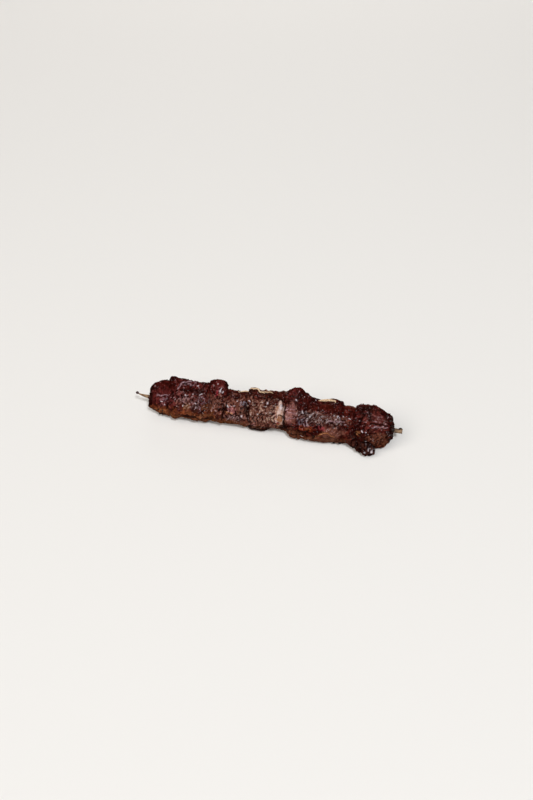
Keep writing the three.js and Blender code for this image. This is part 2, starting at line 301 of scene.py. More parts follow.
# These show only on the crests of the wrinkles. The first is partly the crests' own grey and partly painted
# sheen, the second is painted bluish sheen, and the third is the crests' own beige.
CREST_TONES = {"ash_and_painted_sheen": (0.36, 0.325, 0.33), "painted_blue_sheen": (0.17, 0.20, 0.27), "pale": (0.52, 0.38, 0.28)}

# How the patches' edges wander, in several kinds, and how far as a share of the patches' size
PATCH_EDGE = {"kinds": 7, "cell": 4.2, "finer": 3, "fine": 0.6, "reach": 0.5, "soft": 0.55}
PATCH_SEEDS = (200, 210)
# Where each tone shows: the middle of a patch, its half-length along the skewer, its half-width around it in
# degrees, how strong it is, which kind of edge it has, and how far that wanders
Patch = namedtuple("Patch", "what at angle long wide share edge stray", defaults=[PATCH_EDGE["reach"]])
PATCHES = {
    "brown": [
        ("low front", 45, -12, 60, 30, 0.95, 0),
        ("patch up beef_2", 41.5, 32, 3.2, 14, 0.8, 1),
        ("patch up beef_3", 58.5, 36, 5, 24, 0.7, 2),
        ("low front, right half", 150, -30, 60, 24, 0.5, 3),
        ("underside", 100, -75, 130, 50, 0.7, 4),
        ("low back", 100, 214, 130, 30, 0.7, 5),
    ],
    "plum": [
        ("front of the first pieces", 30, 52, 34, 34, 0.8, 6),
        ("fold on beef_2", 43, 104, 12, 13, 0.9, 2),
        ("top of beef_3", 64, 104, 6, 18, 0.8, 3),
        ("beef_6", 119, 110, 5, 16, 0.7, 4),
        ("beef_9", 181, 62, 12, 34, 0.9, 5),
        ("back of beef_2", 48, 176, 18, 26, 0.7, 6),
        ("back of beef_5", 100, 168, 16, 24, 0.6, 0),
        ("back of beef_7", 146, 190, 20, 20, 0.8, 1),
    ],
    "brick": [
        ("dark islands in the brown", 40, 4, 28, 13, 0.5, 0, 1.5),
        ("top of beef_7", 140, 90, 14, 15, 0.2, 6),
        ("patch over the lower lobes", 132, 13, 7, 11, 0.9, 0),
        ("low front of beef_1", 19, -6, 8, 18, 0.4, 1),
        ("back of beef_4", 80, 190, 8, 20, 0.5, 2),
    ],
    "grey": [
        ("islands in the brown", 52, 0, 20, 12, 0.4, 1, 1.5),
        ("front of beef_2", 46, 56, 14, 26, 0.3, 2),
        ("beef_3", 63, 58, 7, 34, 0.75, 3),
        ("beef_4", 78, 42, 10, 40, 1.0, 4),
        ("beef_5", 99, 34, 16, 54, 1.0, 5),
        ("beef_6", 119, 55, 5.5, 42, 1.0, 6),
        ("beef_7", 141, 52, 18, 22, 0.8, 0),
        ("smooth front of beef_7", 151, 14, 8, 20, 0.85, 1),
        ("back of beef_5", 98, 152, 12, 26, 0.8, 6),
        ("back of beef_1", 21, 150, 6, 22, 0.6, 0),
        ("back of beef_3", 66, 196, 9, 26, 0.6, 3),
        ("back of beef_6", 118, 184, 7, 34, 0.7, 4),
        ("back of beef_9", 182, 170, 9, 22, 0.5, 5),
    ],
    "mauve": [
        ("large lobe", 146, -24, 14, 24, 0.9, 2),
        ("small lobe", 120, -30, 9, 32, 0.75, 4),
        ("lower end of beef_9", 184, 8, 10, 30, 0.6, 5),
        ("back of beef_4", 82, 178, 9, 26, 0.5, 6),
        ("back of beef_8", 163, 150, 6, 26, 0.8, 1),
        ("low back of beef_2", 44, 190, 12, 18, 0.7, 2),
        ("top of beef_9", 180, 70, 11, 34, 0.2, 6),
    ],
    # Where painted sheen shows
    "painted_lilac_sheen": [
        ("low front of beef_4", 78, 12, 6, 12, 0.25, 3),
    ],
    "pink": [
        ("beef_6", 119.5, 50, 5, 38, 0.3, 0),
        ("foot of beef_5", 92.4, -6, 1.6, 14, 0.55, 1),
        ("left of the fat", 108.2, 40, 1.2, 30, 0.45, 3),
        ("spots on beef_1", 23.5, 30, 3, 18, 0.35, 4),
        ("part of beef_4", 75.5, 44, 3.4, 14, 0.4, 5),
        ("upper left of beef_4", 75.5, 40, 3.6, 12, 0.75, 3),
    ],
    "red": [
        ("streak on beef_3", 63, 88, 1.1, 11, 1.3, 2, 0.3),
        ("spot in the fat", 110.6, 21, 1.1, 5, 1.0, 3, 0.2),
        ("patch beside the brick one", 142, 24, 3.4, 6, 0.65, 4),
    ],
    # Where the crests' own grey and painted sheen show
    "ash_and_painted_sheen": [
        ("network of beef_2", 46, 50, 13, 28, 0.25, 5),
        ("spot on beef_3", 65.5, 94, 2, 5, 0.8, 6),
        ("network low on beef_4", 79, 8, 8, 16, 0.5, 1),
        ("network of beef_7", 138, 52, 14, 17, 0.8, 2),
        ("band by beef_8", 153, 46, 6, 6, 0.6, 1),
        ("silver skin of the charred lip", 92, -42, 6, 10, 0.6, 2),
        ("network of beef_9", 183, 74, 7, 13, 0.25, 3),
        ("back of beef_7", 139, 160, 10, 12, 0.5, 4),
        ("back of beef_2", 45, 150, 12, 20, 0.35, 0),
        ("back of beef_9", 183, 140, 8, 18, 0.35, 1),
    ],
    # Where painted bluish sheen shows on the crests
    "painted_blue_sheen": [
        ("spot on beef_4", 83.5, 63, 3, 8, 1.0, 0),
        ("middle of beef_2", 52.5, 57, 5, 14, 0.5, 3),
        ("foot of beef_1", 26, 45, 3, 12, 0.35, 4),
        ("end of beef_7's network", 128, 36, 3.6, 14, 0.9, 5),
        ("fibres of beef_5", 106, 49, 3, 8, 0.6, 6),
        ("back of beef_7", 134, 158, 4, 9, 0.6, 0),
    ],
    "pale": [
        ("back of beef_5", 97, 150, 11, 22, 0.5, 5),
        ("back of beef_3", 64, 172, 4, 16, 0.5, 6),
        ("spot on beef_2", 42, 32, 3, 9, 0.35, 2),
        ("grain of beef_5", 99, 46, 12, 34, 0.5, 4),
        ("left edge of beef_5", 91.5, -2, 2.4, 24, 0.5, 5),
        ("meat beside the fat", 107, 40, 3, 42, 0.6, 6),
        ("line above the lower lobes", 138, -4, 4.5, 3, 0.5, 0),
    ],
    "fat": [
        ("upper part of the fat", 111.2, 58, 3.1, 25, 1.15, 1, 0.3),
        ("tip of the fat", 110.4, 82, 1.3, 12, 0.9, 2, 0.1),
        ("foot of the fat", 111.7, 26, 2.7, 22, 0.9, 3, 0.2),
        ("fat at the back of beef_5", 111.8, 150, 1.8, 26, 0.5, 5),
    ],
    # A painted highlight on the fat
    "glint": [
        ("bright spot in the fat", 111.4, 69, 1.1, 8, 0.7, 4),
    ],
    "tan": [
        ("middle of the fat", 111.6, 33, 1.9, 14, 0.9, 6, 0.7),
        ("foot of the fat", 111.7, 15, 2.6, 8, 0.85, 0),
        ("left edge of the fat", 108.6, 58, 0.9, 22, 0.6, 1),
        ("low front of beef_1", 20, -4, 7, 9, 0.35, 2),
        ("khaki low front of beef_2", 44, 8, 4, 8, 0.35, 3),
        ("khaki meat beside beef_3", 56, 8, 7, 9, 0.4, 4),
        ("corner of beef_4", 73.5, 29, 3.2, 6, 0.55, 5),
        ("beside the brick patch", 132, 15, 3.4, 4.5, 0.45, 6),
        ("above the charred lobe", 168.5, 20, 2, 9, 0.7, 0),
    ],
    # Where painted sparkles show
    "painted_sparkle": [
        ("front", 104, 50, 112, 36, 0.8, 1),
        ("back", 104, 158, 112, 34, 0.6, 2),
        ("top", 110, 98, 100, 24, 0.6, 3),
        ("beef_2", 44, 52, 15, 30, 1.0, 4),
        ("beef_7", 140, 52, 17, 20, 1.0, 5),
    ],
    "smooth": [
        ("top of beef_1", 22, 92, 9, 34, 0.6, 0),
        ("front of beef_7", 150.5, 16, 9, 24, 1.1, 1),
        ("beef_6", 119, 52, 5, 40, 0.9, 2),
        ("dark oval on beef_2", 48.2, 30, 4.4, 18, 1.2, 3, 0.3),
        ("low front of beef_2", 31, -43, 4.5, 18, 1.0, 4),
        ("shoulder of beef_9", 182, 70, 6, 22, 0.6, 5),
        ("lower front of beef_9", 184, 22, 7, 20, 0.5, 6),
        ("knob on beef_3", 64.5, 116, 5, 17, 0.6, 0),
        ("large lobe", 146, -24, 12, 22, 1.0, 1),
        ("small lobe", 120, -28, 7, 28, 0.6, 2),
        ("top of beef_7", 143, 98, 12, 20, 0.5, 3),
        ("back of beef_2", 44, 172, 12, 24, 0.6, 4),
        ("back of beef_7", 148, 192, 12, 20, 0.6, 5),
    ],
    # Char, and in the crease, hole, notch and hollow rows and between beef_4 and beef_5 also painted shade
    "char": [
        ("left rim of beef_1", 13.4, 80, 3.2, 70, 0.9, 6),
        ("along the bottom of beef_2", 43, -7, 9, 4.5, 0.9, 0),
        ("foot of beef_3", 59, -7, 5, 7, 0.85, 1),
        ("under beef_1", 22, -33, 2.4, 9, 0.95, 2),
        ("crease of beef_2", 46, 89, 8, 2.5, 0.75, 3),
        ("dark oval on beef_2", 48.2, 30, 3.8, 16, 0.75, 4, 0.3),
        ("spot under beef_3", 60.5, 3, 2.2, 9, 0.75, 5),
        ("hole beside beef_3", 69.6, 36, 1.8, 11, 0.95, 6),
        ("between beef_4 and beef_5", 86.5, 46, 1.5, 22, 0.8, 0),
        ("lip under beef_5", 96, -38, 13, 13, 0.85, 1),
        ("notch under the fat", 114.4, -12, 2.4, 15, 0.95, 2),
        ("under the silver network", 136, 50, 10, 16, 0.45, 3),
        ("small lobe", 128, -6, 4, 10, 0.4, 4),
        ("end of the large lobe", 156, -34, 1.8, 6, 0.9, 5),
        ("hollow by the lobe", 172.5, -12, 3.4, 15, 0.8, 6),
        ("top of beef_9", 171, 93, 6, 16, 0.8, 0),
        ("rim of beef_9", 191.4, 60, 2.4, 60, 0.7, 1),
        ("face of the point's end", 11, 270, 3, 420, 0.75, 2),
        ("face of the blunt end", 194.3, 270, 3.4, 420, 0.75, 3),
        ("back of beef_8", 162, 180, 6, 24, 0.5, 4),
        ("back of beef_2", 36, 210, 8, 12, 0.5, 5),
    ],
}

# Creases, furrows and ridges, by the tone laid along them: the width and height of each, and its path of
# places and angles
LINES = {
    # Grooves, dark partly from char and partly from painted shade in them
    "char": [
        ("under beef_2's fold", 0.75, -0.9, [(36, 82), (39, 86), (43, 85), (48, 86), (51.5, 83)]),
        ("after beef_1", 0.8, -0.9, [(30.6, 74), (31.1, 66), (30.4, 52)]),
        ("low after beef_1", 0.6, -0.6, [(27.6, 36), (27, 8)]),
        ("bottom of beef_2", 0.6, -0.3, [(36.5, -1), (39, -5), (42.5, -2), (46, -7), (49.5, -2)]),
        ("before beef_4", 0.9, -1.1, [(71.5, 62), (70.9, 50), (69.5, 27), (69.4, 2)]),
        ("after beef_4", 0.6, -0.8, [(85.9, 75), (87.6, 61), (87.9, 30), (88.9, 4)]),
        ("across beef_4", 0.6, -0.8, [(73.5, 25), (76.9, 20), (81.5, 26)]),
        ("under beef_5", 0.9, -1.0, [(90, -17), (94, -21), (101, -24), (108, -14), (114.4, -16)]),
        ("under beef_6", 0.6, -1.2, [(115.5, -10), (119.9, 8), (124.5, 14)]),
        ("between the lower lobes", 0.5, -0.4, [(125.5, 9), (129.5, 3), (133.5, -3), (138, -14)]),
        ("across the small lobe", 0.4, -0.5, [(116.5, -14), (120, -24), (125, -22)]),
        ("over the lower lobes", 1.5, -0.9, [(125.8, 3), (129.7, 2), (134.4, -2), (137, -14)]),
        ("before beef_8", 0.7, -0.8, [(157.6, 38), (159.8, 26)]),
        ("before beef_9", 0.9, -0.9, [(168.5, 92), (171, 74), (168.6, 46), (169.5, 36)]),
        ("above the charred lobe", 1.0, -1.0, [(169.5, 18), (172.8, 8), (175.4, -4), (178.4, -14)]),
        ("across beef_9", 0.6, -0.8, [(176.5, 55), (182, 58), (189, 58)]),
        ("down beef_9", 1.6, -0.8, [(174.2, 92), (175, 80), (176, 66)]),
        ("in the fat", 0.3, -0.5, [(110.6, 46), (113.9, 44)]),
        ("notch under the fat", 1.2, -0.7, [(111.8, -9), (114.2, -17), (117, -22)]),
        ("side of the fat", 0.5, -0.8, [(114, 84), (114.5, 60), (114.9, 30), (114.4, 8)]),
        ("across beef_6", 0.35, -0.4, [(120, 48), (125.5, 50)]),
        ("back of beef_2", 0.9, -1.0, [(34, 158), (40, 150), (48, 153), (55, 148)]),
        ("back of beef_5", 0.8, -0.9, [(91, 184), (98, 178), (105, 182), (111, 176)]),
        ("back of beef_7", 0.9, -1.0, [(128, 168), (136, 172), (145, 166), (154, 171)]),
        ("low back of beef_7", 1.2, -1.0, [(131, 208), (141, 204), (151, 210)]),
        ("back of beef_9", 0.8, -0.8, [(172, 150), (178, 156), (186, 152)]),
    ],
    "tan": [
        ("edge of a lobe", 0.45, 0.35, [(138.1, -14), (140.9, 2), (143.6, 12), (147.9, 14), (152.4, 3)]),
    ],
    "fat": [
        ("left foot of the fat", 0.85, 0.25, [(109.9, 40), (109.4, 32), (109.4, 24), (110.1, 17)]),
        ("right rim of the fat", 0.8, 0.35, [(113, 50), (113.3, 36), (113.1, 20), (112.4, 14)]),
    ],
    "brown": [
        ("in the fat", 0.35, -0.25, [(110.4, 70), (110.8, 56)]),
    ],
    # Ridges with painted sheen along them
    "painted_lilac_sheen": [
        ("across beef_1", 0.5, 0.5, [(19, 55), (22, 57), (24.6, 61), (28, 63)]),
        ("left of beef_2's fold", 0.55, 0.6, [(33.4, 82), (35.2, 94), (37.7, 103), (41.8, 109), (46, 108)]),
        ("inside beef_2's fold", 0.5, 0.4, [(38.5, 96), (41, 101), (44.5, 100)]),
        ("along beef_9", 0.5, 0.6, [(177.6, 46), (180.9, 51), (184.5, 50), (188.4, 52)]),
        ("second ridge on beef_9", 0.3, 0.3, [(177.2, 64), (180.4, 64)]),
        ("loop on beef_7", 0.55, 0.5, [(129.2, 46), (131.4, 40), (132.6, 22), (130.4, 18), (129.6, 30)]),
        ("along beef_7", 0.6, 0.5, [(147, 47), (153.3, 49), (157.5, 53)]),
        ("rim of the dark oval", 0.25, 0.3, [(47, 46), (50, 45), (52.2, 36), (52.4, 26)]),
        ("high on beef_6", 0.25, 0.3, [(116, 66), (122.5, 69)]),
        ("middle of beef_6", 0.25, 0.3, [(116, 56), (122.5, 58)]),
        ("low on beef_6", 0.25, 0.3, [(116.5, 38), (122, 41)]),
        ("back of beef_3", 0.5, 0.5, [(60, 150), (63, 158), (67, 154)]),
        ("back of beef_9", 0.5, 0.5, [(175, 176), (181, 180), (187, 176)]),
    ],
    "grey": [
        ("ring on beef_2", 0.28, 0.4, [(34, 46), (35.5, 52), (37.2, 44), (36.5, 24), (34.4, 26), (34, 46)]),
    ],
}
DEGREE = 0.245  # the mean arc of one degree around the meat, in mm
LINE_SHARE = 0.9  # how strong a line's tone is

# Wet bumps with a painted highlight on each: places and angles
GLINTS = [
    (48, 101), (46.3, 74), (51.8, 77), (40.3, 68), (39.3, 34), (48.4, 47), (55.8, 25), (66.6, 93),
    (65.3, 97), (72.5, 53), (77.7, 56), (78.9, 73), (83.7, 24), (88.3, 73), (97.8, 75), (101.2, 77),
    (95.1, 41), (121.7, 98), (127.3, 67), (140, 55), (141.1, 46), (132.8, 54), (134.6, 66), (152.8, 62),
    (157.3, 69), (162, 68), (167.8, 61), (171.3, 32), (174.6, 30), (22.4, 38), (25, 27), (82.8, 65),
    (175.4, -5), (178.2, -12), (180, -17), (175, -17),
]
GLINTS += [(at, 200 - angle) for at, angle in GLINTS[::2]]  # half as many on the back
GLINT = {"width": 0.42, "high": 0.5, "share": 0.85, "long": 0.7, "turn": 3.5, "thin": 0.8, "thicker": 0.35}

# Craggy places: the middle of each in the skewer's frame, how far it reaches, how rough it is, and how much
# it is charred and greyed
Crag = namedtuple("Crag", "middle reach rough char grey")
CRAGS = {
    "beef_1": Crag((12, 0, 9), 10, 0.55, 0.3, 0),
    "beef_8": Crag((175.5, -15, -7), 17, 0.8, 0.97, 0.5),
    "beef_9": Crag((193.5, 0, 2), 14, 0.75, 0.35, 0),
}
CRAG_CORE = 0.6  # the share of its reach within which a craggy place is rough in full
CRAG_RISE = 0.6  # how far it stands out on the whole, as a share of its roughness
CRAG_SPLIT = {"deep": 1.4, "levels": (0.3, 0.6)}  # the cracks in it
CRAG_HOLLOW = {"char": 0.4, "levels": (0.3, -0.4)}  # how much of the char is only in the hollows, where it is partly char and partly painted shade


# Noise in a material: its cell and its detail, the range of it that is used, and the values that this gives
Mottle = namedtuple("Mottle", "cell detail low high to_low to_high", defaults=(0.0, 1.0))
Bump = namedtuple("Bump", "cell detail depth strength stretch", defaults=[(1, 1, 1)])


class Graph:
    """A material's nodes, with its Principled shader at hand"""

    def __init__(self, material):
        self.tree = material.node_tree
        self.shader = self.tree.nodes["Principled BSDF"]

    def add(self, kind, **settings):
        node = self.tree.nodes.new(kind)
        for name, value in settings.items():
            setattr(node, name, value)
        return node

    def feed(self, socket, value):
        """Joins an output to a socket, or sets the socket's own number or colour"""
        if isinstance(value, bpy.types.NodeSocket):
            self.tree.links.new(value, socket)
        else:
            socket.default_value = (*value, 1) if isinstance(value, tuple) else value

    def attribute(self, name):
        return self.add("ShaderNodeAttribute", attribute_name=name).outputs["Fac"]

    def place(self, stretch):
        """The object's own coordinates in millimetres, drawn out along its axes"""
        mapping = self.add("ShaderNodeMapping")
        mapping.inputs["Scale"].default_value = [share / MM for share in stretch]
        self.feed(mapping.inputs["Vector"], self.add("ShaderNodeTexCoord").outputs["Object"])
        return mapping.outputs["Vector"]

    def noise(self, cell, detail, stretch=(1, 1, 1)):
        node = self.add("ShaderNodeTexNoise")
        self.feed(node.inputs["Scale"], 1 / cell)
        self.feed(node.inputs["Detail"], detail)
        self.feed(node.inputs["Vector"], self.place(stretch))
        return node.outputs["Fac"]

    def range(self, value, low, high, to_low=0.0, to_high=1.0):
        node = self.add("ShaderNodeMapRange")
        values = (value, low, high, to_low, to_high)
        for name, number in zip(("Value", "From Min", "From Max", "To Min", "To Max"), values):
            self.feed(node.inputs[name], number)
        return node.outputs["Result"]

    def mottle(self, mottle):
        return self.range(self.noise(mottle.cell, mottle.detail), *mottle[2:])

    def math(self, operation, first, second):
        node = self.add("ShaderNodeMath", operation=operation)
        self.feed(node.inputs[0], first)
        self.feed(node.inputs[1], second)
        return node.outputs["Value"]

    def mix(self, share, first, second, blend="MIX"):
        node = self.add("ShaderNodeMix", data_type="RGBA", blend_type=blend)
        for index, value in ((0, share), (6, first), (7, second)):  # the sockets for colours
            self.feed(node.inputs[index], value)
        return node.outputs[2]

    def paint(self, colour, roughness):
        self.feed(self.shader.inputs["Base Color"], colour)
        self.feed(self.shader.inputs["Roughness"], roughness)

    def bump(self, bump):
        node = self.add("ShaderNodeBump")
        self.feed(node.inputs["Distance"], bump.depth * MM)
        self.feed(node.inputs["Strength"], bump.strength)
        self.feed(node.inputs["Height"], self.noise(bump.cell, bump.detail, bump.stretch))
        self.feed(self.shader.inputs["Normal"], node.outputs["Normal"])


def new_material(name):
    material = bpy.data.materials.new(name)
    material.use_nodes = True
    return material, Graph(material)


BEEF = {
    "base": Mottle(4.5, 4, 0.38, 0.64),
    "break up": Mottle(0.9, 3, 0.3, 0.7, -0.3, 0.3),
    "fat": Mottle(2.2, 3, 0.5, 0.75),
    "painted_sparkle": Mottle(1.2, 2, 0.6, 0.65),
    "roughness": Mottle(1.1, 3, 0.3, 0.7, 0.3, 0.6),
}
# The ranges of a tone's mask and of the crests over which tones, paler crests with painted highlight, and
# painted sparkles come in
MASK_RANGE, CREST_RANGE, PAINTED_SPARKLE_RANGE = (0.05, 0.95), (0.2, 1), (0.1, 0.6)
CREST_PALENESS_AND_HIGHLIGHT = (2.15, 2.6, 2.65)  # how much lighter than the meat around them the wrinkles' crests are: partly their own paler colour, partly painted highlight
DRYNESS = 0.14  # how much duller browned meat is
# The gloss of the juice is a thin coat
JUICE = {"Specular IOR Level": 0.02, "Coat Weight": 0.22, "Coat Roughness": 0.07}
CRUST = Bump(0.42, 4, 0.07, 0.45)
# The two base tones of each kind of beef
BASES = {
    "seared_beef": ((0.016, 0.0015, 0.0009), (0.060, 0.0062, 0.0044)),
    "browned_beef": ((0.018, 0.0026, 0.0015), (0.064, 0.0100, 0.0064)),
    "charred_beef": ((0.026, 0.0026, 0.0016), (0.078, 0.0095, 0.0058)),
}


def beef_material(name, deep, plain):
    """Seared beef: two close base tones, the patches' tones, paler crests with painted highlight, painted
    glints and sparkles, and painted shade in creases
    """
    material, graph = new_material(name)
    colour = graph.mix(graph.mottle(BEEF["base"]), deep, plain)
    break_up = graph.mottle(BEEF["break up"])
    for tone, shade in TONES.items():
        mask = graph.attribute(tone)
        if tone == "fat":
            shade = graph.mix(graph.mottle(BEEF["fat"]), shade, FAT_SHADE)
        share = graph.range(graph.math("ADD", mask, graph.math("MULTIPLY", mask, break_up)), *MASK_RANGE)
        colour = graph.mix(share, colour, shade)
    crest = graph.attribute("crest")
    # The crests made paler and given a painted highlight
    lighter = graph.mix(1.0, colour, CREST_PALENESS_AND_HIGHLIGHT, "MULTIPLY")
    colour = graph.mix(graph.range(crest, *CREST_RANGE), colour, lighter)
    # The crests' tones, two of them painted sheen
    for tone, shade in CREST_TONES.items():
        colour = graph.mix(graph.math("MULTIPLY", crest, graph.attribute(tone)), colour, shade)
    # Painted sparkles on the crests
    painted_sparkle = graph.math("MULTIPLY", graph.mottle(BEEF["painted_sparkle"]), graph.attribute("painted_sparkle"))
    colour = graph.mix(graph.math("MULTIPLY", painted_sparkle, graph.range(crest, *PAINTED_SPARKLE_RANGE)), colour, PAINTED_SPARKLE_TONE)
    # Painted highlights on the glints
    colour = graph.mix(graph.attribute("glint"), colour, PAINTED_GLINT_TONE)
    # Painted shade in creases, pits and seams
    colour = graph.mix(graph.attribute("crease"), colour, PAINTED_SHADE_TONE)
    dry = graph.math("MULTIPLY", graph.attribute("brown"), DRYNESS)
    graph.paint(colour, graph.math("ADD", graph.mottle(BEEF["roughness"]), dry))
    for socket, value in JUICE.items():
        graph.feed(graph.shader.inputs[socket], value)
    graph.bump(CRUST)
    return material


def in_skewer_frame(points):
    """Points of the scene in the skewer's frame, in millimetres"""
    return (np.array(points) - ORIGIN) / MM


def coordinates(mesh):
    """A mesh's vertices in the skewer's frame"""
    flat = np.empty(len(mesh.vertices) * 3)
    mesh.vertices.foreach_get("co", flat)
    return in_skewer_frame(flat.reshape(-1, 3))


def set_coordinates(mesh, points):
    mesh.vertices.foreach_set("co", (points * MM + ORIGIN).ravel())
    mesh.update()


def normals_of(mesh):
    flat = np.empty(len(mesh.vertices) * 3)
    mesh.vertex_normals.foreach_get("vector", flat)
    return flat.reshape(-1, 3)


def edges_of(mesh):
    flat = np.empty(len(mesh.edges) * 2, int)
    mesh.edges.foreach_get("vertices", flat)
    return flat.reshape(-1, 2)


def neighbour_mean(values, edges):
    """For each vertex, the mean of its neighbours' values"""
    count = np.bincount(edges.ravel(), minlength=len(values))
    columns = []
    for column in np.atleast_2d(values.T):
        total = np.bincount(edges[:, 0], weights=column[edges[:, 1]], minlength=len(values))
        total += np.bincount(edges[:, 1], weights=column[edges[:, 0]], minlength=len(values))
        columns.append(total / np.maximum(count, 1))
    return np.stack(columns, axis=1) if values.ndim > 1 else columns[0]


def smoothed(values, edges, rounds, share):
    """The values of a mesh's vertices, moved towards their neighbours' mean time after time"""
    for _ in range(rounds):
        values = values + share * (neighbour_mean(values, edges) - values)
    return values


def remeshed(node, name):
    """A copy of a node's solid with small even faces"""
    piece = new_object(name, frame["nodes"][node].data.copy())
    remesh = piece.modifiers.new("remesh", "REMESH")
    remesh.mode = "VOXEL"
    remesh.voxel_size = VOXEL * MM
    fine = bpy.data.meshes.new_from_object(piece.evaluated_get(bpy.context.evaluated_depsgraph_get()))
    piece.modifiers.clear()
    piece.data = fine
    fine.materials.clear()
    fine.polygons.foreach_set("use_smooth", np.ones(len(fine.polygons), bool))
    return piece


def tree_of(meshes):
    """One search tree over several meshes"""
    points, faces = [], []
    for mesh in meshes:
        base = len(points)
        points.extend(vertex.co for vertex in mesh.vertices)
        faces.extend([base + index for index in polygon.vertices] for polygon in mesh.polygons)
    return BVHTree.FromPolygons(points, faces)


def solids_of(nodes):
    return [frame["nodes"][node].data for node in nodes]


def way_to(tree, points, reach):
    """The way from each point to the nearest place of a tree's surface, and how far it is, at most reach"""
    ways = np.zeros((len(points), 3))
    distances = np.full(len(points), float(reach))
    for index, point in enumerate(points * MM + ORIGIN):
        place, _, _, distance = tree.find_nearest(Vector(point), reach * MM)
        if place is not None:
            ways[index] = (np.array(place) - point) / MM
            distances[index] = distance / MM
    return ways, distances


def outwards(angle):
    """The direction straight away from the skewer at an angle around it"""
    return Vector((0, -math.cos(math.radians(angle)), math.sin(math.radians(angle))))


def slid(grid, reach, pick):
    """The largest or smallest value of a grid within reach, along the skewer"""
    padded = np.pad(grid, ((reach, reach), (0, 0)), mode="edge")
    return pick.reduce([padded[shift : shift + len(grid)] for shift in range(2 * reach + 1)])


def skin_of(nodes):
    """The meat's outer radius along and around the skewer, and how much it lacks in narrow grooves"""
    tree = tree_of(solids_of(nodes))
    radius = []
    for at in np.arange(SKIN["from"], SKIN["to"], SKIN["step"]):
        row = []
        for angle in range(0, 360, SKIN["turn"]):
            out = outwards(angle)
            distance = tree.ray_cast(metres(at) + out * SKIN["outside"] * MM, -out)[3]
            row.append(0 if distance is None else SKIN["outside"] - distance / MM)
        radius.append(row)
    radius = np.array(radius)
    closed = slid(slid(radius, SKIN["reach"], np.maximum), SKIN["reach"], np.minimum)
    return radius, np.minimum(closed - radius, SKIN["most"])


def angles_of(points):
    """Each point's angle around the skewer"""
    return np.degrees(np.arctan2(points[:, 2], -points[:, 1]))


def turn_to(angles, angle):
    """How far the angles are past an angle, from -180 to 180"""
    return (angles - angle + 180) % 360 - 180


def on_grid(grid, points):
    """A grid's values at points, blended between its cells"""
    along = np.clip((points[:, 0] - SKIN["from"]) / SKIN["step"], 0, len(grid) - 1.001)
    around = angles_of(points) % 360 / SKIN["turn"]
    row, column = along.astype(int), around.astype(int) % grid.shape[1]
    down, right = along - row, around - np.floor(around)
    beside = (column + 1) % grid.shape[1]
    low = grid[row, column] * (1 - right) + grid[row, beside] * right
    high = grid[row + 1, column] * (1 - right) + grid[row + 1, beside] * right
    return low * (1 - down) + high * down


def along_grain(points, direction):
    """The points with the fibres' direction shortened, so that a pattern on them is drawn out along it"""
    axis = np.array(direction) / np.linalg.norm(direction)
    along = points @ axis
    return points - np.outer(along * (1 - 1 / FIBRE_DRAW), axis)


def patch_share(points, angles, patch, edge):
    """How much of a patch's tone each point has"""
    around = turn_to(angles, patch.angle) / patch.wide
    along = (points[:, 0] - patch.at) / patch.long
    inside = 1 - np.hypot(around, along) + patch.stray * edge
    return patch.share * smooth_step(-PATCH_EDGE["soft"] / 2, PATCH_EDGE["soft"], inside)


def line_share(points, angles, path, width):
    """How near each point is to a line over the surface: 1 on the line, and little at its width"""
    near = np.full(len(points), np.inf)
    for (at, angle), (next_at, next_angle) in zip(path, path[1:]):
        along, around = points[:, 0] - at, turn_to(angles, angle) * DEGREE
        step, turn = next_at - at, (next_angle - angle) * DEGREE
        share = np.clip((along * step + around * turn) / (step * step + turn * turn), 0, 1)
        near = np.minimum(near, (along - share * step) ** 2 + (around - share * turn) ** 2)
    return np.exp(-near / width**2)


def draw_lines(points, masks):
    """The height that creases, ridges and glints add. Their tones go into the masks, the glints' tone being a
    painted highlight.
    """
    wandering = warp(points, *PATTERNS["line wander"])
    angles = angles_of(wandering)
    height = np.zeros(len(points))
    for tone, lines in LINES.items():
        for _, width, high, path in lines:
            share = line_share(wandering, angles, path, width)
            height += high * share
            masks[tone] = np.maximum(masks[tone], LINE_SHARE * share)
    for at, angle in GLINTS:
        # Its way and its width follow from its place
        end = (at + GLINT["long"] * math.cos(7 * at), angle + GLINT["turn"] * math.sin(7 * at))
        width = GLINT["width"] * (GLINT["thin"] + GLINT["thicker"] * math.sin(5 * angle))
        share = line_share(wandering, angles, [(at, angle), end], width)
        height += GLINT["high"] * share
        masks["glint"] = np.maximum(masks["glint"], GLINT["share"] * share)
    return height


def patch_edge(points, kind):
    """How far one kind of edge wanders in or out at each point"""
    seed, fine_seed = PATCH_SEEDS
    fine = noise(points, PATCH_EDGE["cell"] / PATCH_EDGE["finer"], fine_seed + kind)
    return noise(points, PATCH_EDGE["cell"], seed + kind) + PATCH_EDGE["fine"] * fine


def tone_masks(points):
    """Of each tone, how much of it each point has"""
    angles = angles_of(points)
    masks = {tone: np.zeros(len(points)) for tone in (*TONES, *CREST_TONES, "glint", "painted_sparkle", "smooth")}
    edges = [patch_edge(points, kind) for kind in range(PATCH_EDGE["kinds"])]
    for tone, rows in PATCHES.items():
        for patch in (Patch(*row) for row in rows):
            masks[tone] = np.maximum(masks[tone], patch_share(points, angles, patch, edges[patch.edge]))
    return masks


